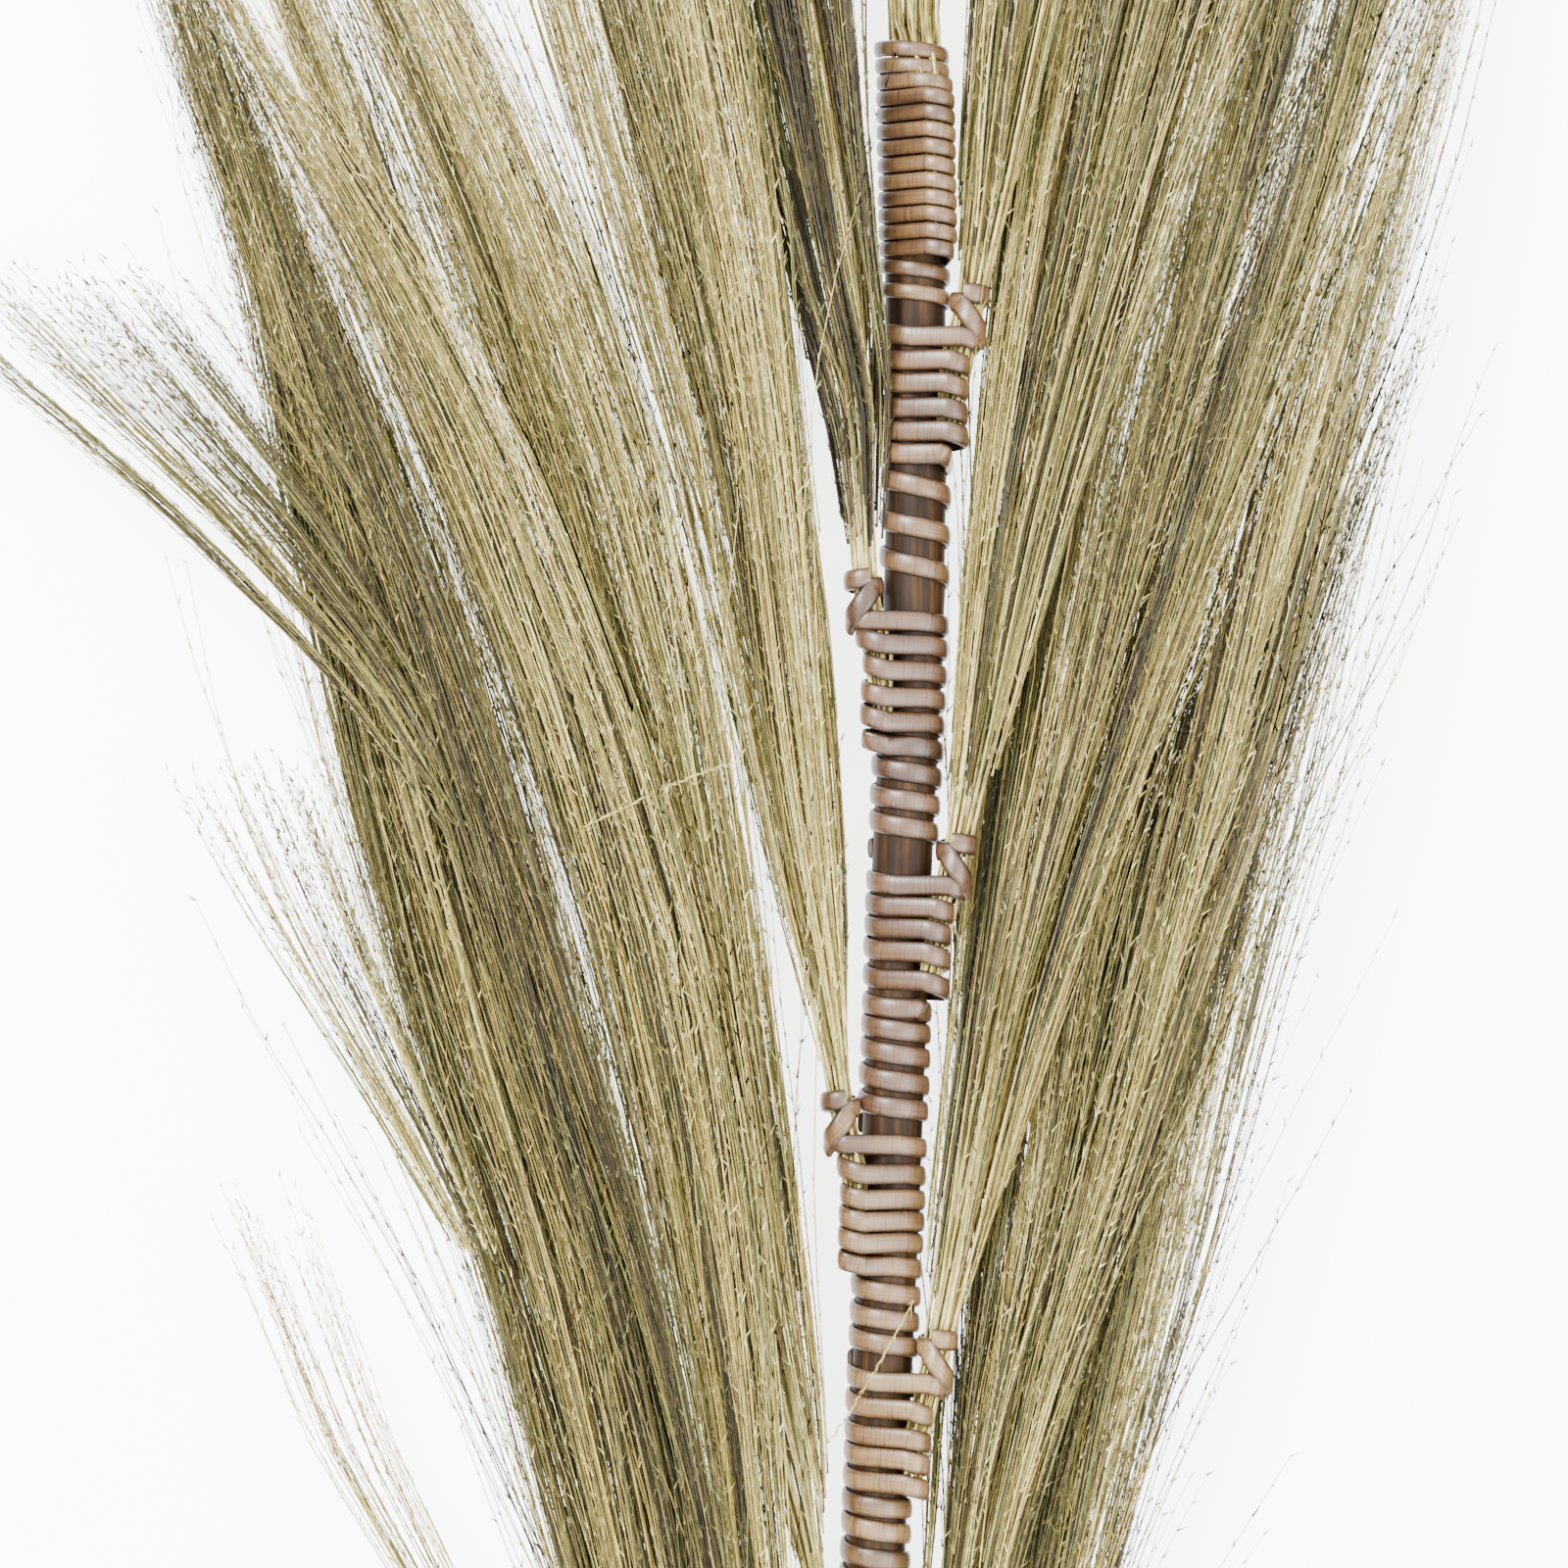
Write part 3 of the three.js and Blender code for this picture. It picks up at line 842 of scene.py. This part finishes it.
# Painted shade: the strip is darkened towards both edges, where it rounds down between the turns.
painted_edge_shade = put(tree, "ShaderNodeMath", (side,), operation="ABSOLUTE")
painted_edge_shade = put(tree, "ShaderNodeMath", (painted_edge_shade, 0.0031), operation="DIVIDE")  # 1 is the strip's edge
ticks = grain(tree, skin, (1400, 90, 7), 3.0)
patches = grain(tree, skin, (22, 60, 9), 3.0)
fibres = grain(tree, skin, (30, 1500, 3), 2.0)
layers = [
    (painted_edge_shade, [(0.45, "#ffffff"), (0.9, "#9a8676")], 0.9),
    (ticks, [(0.3, "#7d6250"), (0.48, "#f4efe9"), (1.0, "#ffffff")], 0.75),
    (patches, [(0.32, "#6e5242"), (0.5, "#e0d5cc"), (0.66, "#ffffff")], 0.85),
    (fibres, [(0.3, "#a3897a"), (0.6, "#ffffff")], 0.5),
]
finish(tree, surface, darkened(tree, colour, layers), roughness=0.34, specular=0.5)
relief = put(tree, "ShaderNodeBump", {"Strength": 0.35, "Distance": 0.0003, "Height": ticks})
tree.links.new(relief.outputs[0], surface.inputs["Normal"])
print("split rattan:", len(tree.nodes), "nodes")

# %% [markdown]
# ## A strip
# A strip has a flat side against the rod and a rounded side outwards. A plain sweep would let it
# twist as it winds, so the guide says at each point which way is sideways and which is outwards.
# The tree sweeps a circle along the path only to get its faces, then lays every point of it by
# those two directions.

# %% Geometry Nodes: a strip
strip, given = new_group(
    "rattan_strip",
    {"Width": "Float", "Thickness": "Float", "Age": "Float", "Material": "Material"},
)
path = put(strip, "GeometryNodeMeshToCurve", (given["Geometry"],))
kept = {
    "run": (put(strip, "GeometryNodeSplineParameter").outputs["Length"], "FLOAT"),
    "middle": (put(strip, "GeometryNodeInputPosition"), "FLOAT_VECTOR"),
}
for label, (value, kind) in kept.items():
    path = put(
        strip,
        "GeometryNodeStoreNamedAttribute",
        {"Geometry": path, "Name": label, "Value": value},
        data_type=kind,
        domain="POINT",
    )

# The section: its place across is a cosine, and its rise is a sine, flattened below and domed above.
section = put(strip, "GeometryNodeCurvePrimitiveCircle", {"Resolution": 14, "Radius": 0.002})
turn = put(strip, "GeometryNodeSplineParameter").outputs["Factor"]
turn = put(strip, "ShaderNodeMath", (turn, 2 * math.pi), operation="MULTIPLY")
across = put(strip, "ShaderNodeMath", (turn,), operation="COSINE")
across = put(strip, "ShaderNodeMath", (across, 0.5), operation="MULTIPLY")
across = put(strip, "ShaderNodeMath", (across, given["Width"]), operation="MULTIPLY")
rise = put(strip, "ShaderNodeMath", (turn,), operation="SINE")
rise = put(strip, "ShaderNodeMath", (rise, 0.0), operation="MAXIMUM")
rise = put(strip, "ShaderNodeMath", (rise, 0.55), operation="POWER")
rise = put(strip, "ShaderNodeMath", (rise, given["Thickness"]), operation="MULTIPLY")
for label, value in {"across": across, "rise": rise}.items():
    section = put(
        strip,
        "GeometryNodeStoreNamedAttribute",
        {"Geometry": section, "Name": label, "Value": value},
        data_type="FLOAT",
        domain="POINT",
    )
sweep = {"Curve": path, "Profile Curve": section, "Scale": 1.0, "Fill Caps": True}
swept = put(strip, "GeometryNodeCurveToMesh", sweep)
position = put(strip, "GeometryNodeInputNamedAttribute", {"Name": "middle"}, data_type="FLOAT_VECTOR")
for direction, amount in (("sideways", "across"), ("outwards", "rise")):
    way = put(strip, "GeometryNodeInputNamedAttribute", {"Name": direction}, data_type="FLOAT_VECTOR")
    far = put(strip, "GeometryNodeInputNamedAttribute", {"Name": amount}, data_type="FLOAT")
    shift = put(strip, "ShaderNodeVectorMath", {0: way, "Scale": far}, operation="SCALE")
    position = put(strip, "ShaderNodeVectorMath", (position, shift), operation="ADD")
swept = put(strip, "GeometryNodeSetPosition", {"Geometry": swept, "Position": position})
swept = put(strip, "GeometryNodeSetShadeSmooth", {"Geometry": swept})
swept = put(
    strip,
    "GeometryNodeStoreNamedAttribute",
    {"Geometry": swept, "Name": "age", "Value": given["Age"]},
    data_type="FLOAT",
    domain="POINT",
)
swept = put(strip, "GeometryNodeRealizeInstances", (swept,))
swept = put(strip, "GeometryNodeSetMaterial", {"Geometry": swept, "Material": given["Material"]})
put(strip, "NodeGroupOutput", (swept,))
print("strip tree:", len(strip.nodes), "nodes")

# %% [markdown]
# ## The winding's path
# A strip takes in the butt of its tuft as it winds down, then comes down to the bare rod below the
# butt. At each height it goes round whatever stands there: the rod, and beside it the butt. The
# outline round two circles is found from how far it reaches in each direction, so the strip lies on
# both and spans the hollow between them.


# %% Winding path
def at(table, y):
    """A ring table's row at height y."""
    return np.array([np.interp(y, table[:, 1], table[:, k]) for k in range(table.shape[1])])


def outline_point(circles, angle):
    """Point of the outline round the circles that faces the given angle in the XZ plane."""
    facing = np.array([math.cos(angle), math.sin(angle)])
    x, z, r = max(circles, key=lambda c: c[0] * facing[0] + c[1] * facing[1] + c[2])
    return np.array([x, z]) + r * facing, facing


def path_of(points, outward):
    """Points with the strip's sideways and outward directions at each."""
    points, outward = np.array(points), np.array(outward)
    forward = np.gradient(points, axis=0)
    forward /= np.linalg.norm(forward, axis=1)[:, None]
    outward -= (outward * forward).sum(1)[:, None] * forward
    outward /= np.linalg.norm(outward, axis=1)[:, None]
    return points, np.cross(outward, forward), outward


STEP_DOWN = 0.006  # over this height a strip comes down from the butt to the rod
PAST_BUTT = 0.004  # how far below the butt that ends
POINTS_PER_TURN = 40
BEDDED = 0.0001  # a strip stands this clear of the rod, and a little more of the uneven butt
MOST_LIFT = 0.0003  # some turns lie looser than others, by up to this


def winding(name, top, bottom, pitches, seed):
    """A strip wound down from top to bottom: pitches over the butt and over the bare rod."""
    rng = np.random.default_rng(seed)
    butt_end = tuft_rings[name][0, 1] - PAST_BUTT
    heights = [top]
    while heights[-1] > bottom:
        pitch = pitches[0] if heights[-1] > butt_end else pitches[1]
        heights.append(heights[-1] - pitch * (1 + pitches[2] * rng.uniform(-1, 1)))
    turns = np.arange(len(heights))
    lifts = rng.uniform(0.0, MOST_LIFT, len(heights))
    points, outward = [], []
    for share in np.arange(0, len(heights) - 1, 1 / POINTS_PER_TURN):
        y = np.interp(share, turns, heights)
        angle = math.pi - 2 * math.pi * share
        x0, _, z0 = at(rod_rings, y)[:3]
        circles = [(x0, z0, rod_radius)]
        if y > butt_end - STEP_DOWN:
            bx, _, bz, br = at(tuft_rings[name], max(y, tuft_rings[name][0, 1]))[:4]
            eased = min(max((y - butt_end + STEP_DOWN) / STEP_DOWN, 0), 1)
            butt = (x0 + (bx - x0) * eased, z0 + (bz - z0) * eased, br * eased + 2 * BEDDED)
            circles.append(butt)
        (x, z), facing = outline_point(circles, angle)
        lift = BEDDED + np.interp(share, turns, lifts)
        points.append((x + lift * facing[0], y, z + lift * facing[1]))
        outward.append((facing[0], 0, facing[1]))
    return path_of(points, outward)


four_turns = winding("top", 0.0, -0.019, (0.005, 0.005, 0), 1)[0]
print("strip in four turns round the rod:", round(length_of(four_turns) * 1000), "mm")

# %% [markdown]
# ## The collar's path
# A second length of strip goes once round the tuft's neck, crosses its front and tucks under the
# winding, which pulls the tuft out sideways. It is one turn and one fall, so a formula gives it.


# %% Collar path
ROUND = 0.62  # share of a collar's strip that goes round the neck; the rest falls across it
ABOVE_NECK = 0.009  # where it starts
DROP_ROUND, DROP_ACROSS = 0.003, 0.013
NECK_GRIP = 0.0048  # it pulls the neck in to this radius
BULGE = 0.0016  # how far it stands off where it crosses its own first turn


def collar(name, neck_y, side):
    """Once round the neck, then down across its front and in under the winding."""
    points, outward = [], []
    for share in np.linspace(0, 1, 60):
        turn = min(share / ROUND, 1)
        fall = max((share - ROUND) / (1 - ROUND), 0)
        y = neck_y + ABOVE_NECK - DROP_ROUND * turn - DROP_ACROSS * fall
        x, _, z, r = at(tuft_rings[name], max(y, neck_y))[:4]
        r = min(r, NECK_GRIP) + 2 * BEDDED + BULGE * math.sin(math.pi * min(fall * 1.2, 1))
        angle = 0.62 * math.pi - 1.94 * math.pi * turn - 1.9 * fall
        if side == "left":
            angle = math.pi - angle
        facing = (math.cos(angle), math.sin(angle))
        points.append((x + r * facing[0], y, z + r * facing[1]))
        outward.append((facing[0], 0, facing[1]))
    return path_of(points, outward)


neck_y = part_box("binding_left_1")[1].y
print("strip in a collar:", round(length_of(collar("left_1", neck_y, "left")[0]) * 1000), "mm")

# %% [markdown]
# ## Winding the tufts on
# Each binding and its collar are one piece, in the place of two CAD nodes. The top binding is wound
# close. The others are looser and less even, and the strip gets older down the rod.

# %% Wind the strips
# Turn to turn over the butt and over the bare rod, and how much that varies.
PITCH = {"top": (0.0051, 0.0072, 0.03), "right_1": (0.0071, 0.0118, 0.14)}
AGE = {"top": 0.05, "right_1": 0.1, "left_1": 0.4, "right_2": 0.55, "left_2": 0.85}
CARRY_ON = 0.006  # how far a winding runs down past its CAD node, to meet the next tuft's

strip_length = 0
for i, name in enumerate(TUFTS):
    low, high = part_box(f"binding_{name}")
    neck_y = high.y - 0.00035
    bottom = low.y - (0 if name == "left_5" else CARRY_ON)
    pitches = PITCH.get(name, (0.0076, 0.0077, 0.2))
    width = 0.0049 if name == "top" else 0.0064
    paths = [winding(name, neck_y - 0.0025, bottom, pitches, 100 + i)]
    covered = [f"binding_{name}"]
    if name != "top":
        paths.append(collar(name, neck_y, name.split("_")[0]))
        covered.append(f"collar_{name}")
    lines, sideways, outwards = zip(*paths)
    strip_length += sum(length_of(line) for line in lines)
    guide_data = guide_mesh(
        f"guide_rattan_{name}",
        lines,
        sideways=np.concatenate(sideways),
        outwards=np.concatenate(outwards),
    )
    numbers = {"Width": width, "Thickness": 0.0015, "Age": AGE.get(name, 0.95)}
    wrap = grow(f"rattan_{name}", guide_data, strip, numbers | {"Material": split_rattan})
    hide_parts(*covered)
    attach(wrap, "root")
print("split rattan in all:", round(strip_length, 2), "m")

# %% [markdown]
# ## Floor and light
# The bundle lies on a white floor that glows a little, as a light table does, so its edges and
# loose stems stand out clear. A pale room gives even light from all round, a large lamp gives the
# stems a lit side, and a weaker one opens the shadows.

# %% Floor and lamps
floor_y = (cad_box[0][1] + cad_box[1][1]) / 2
bpy.ops.mesh.primitive_plane_add(size=8, location=(0, floor_y, 0))
floor = bpy.context.object
floor.name = "floor"
paper, tree, surface = new_material("white_floor")
surface.inputs["Base Color"].default_value = linear("#f4f5f7")
surface.inputs["Roughness"].default_value = 0.9
surface.inputs["Emission Color"].default_value = linear("#ffffff")
surface.inputs["Emission Strength"].default_value = 3.8
floor.data.materials.append(paper)

world = bpy.data.worlds.new("pale_room")
bpy.context.scene.world = world
world.use_nodes = True
world.node_tree.nodes["Background"].inputs["Color"].default_value = linear("#ffffff")
world.node_tree.nodes["Background"].inputs["Strength"].default_value = 5.2

# Each lamp's place, size in metres and power in watts.
LAMPS = {"key": ((-1.2, 1.2, 2.2), 1.2, 260), "fill": ((1.6, -0.6, 2.0), 1.6, 80)}
for label, (place, size, power) in LAMPS.items():
    light = bpy.data.lights.new(label, "AREA")
    light.size = size
    light.energy = power
    lamp = bpy.data.objects.new(label, light)
    bpy.context.scene.collection.objects.link(lamp)
    lamp.location = place
    lamp.rotation_euler = (-Vector(place)).to_track_quat("-Z", "Y").to_euler()
print(len(LAMPS), "lamps")

# %% [markdown]
# ## Camera
# The camera looks straight down from 1.5 m with a long lens, which keeps the plumes' spread true.
# It is centred beside the rod, below the first left tuft's neck.

# %% Camera
low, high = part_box("collar_left_1")
view_y = (low.y + high.y) / 2 - 0.0609
low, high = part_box("collar_right_1")
view_x = float(at(rod_rings, (low.y + high.y) / 2)[0]) - 0.0405
view_height = 1.53
camera = bpy.data.cameras.new("from_above")
camera.lens = 112.5
seer = bpy.data.objects.new("from_above", camera)
bpy.context.scene.collection.objects.link(seer)
seer.location = (view_x, view_y, view_height)
bpy.context.scene.camera = seer
print("view centre", round(view_x, 4), round(view_y, 4))
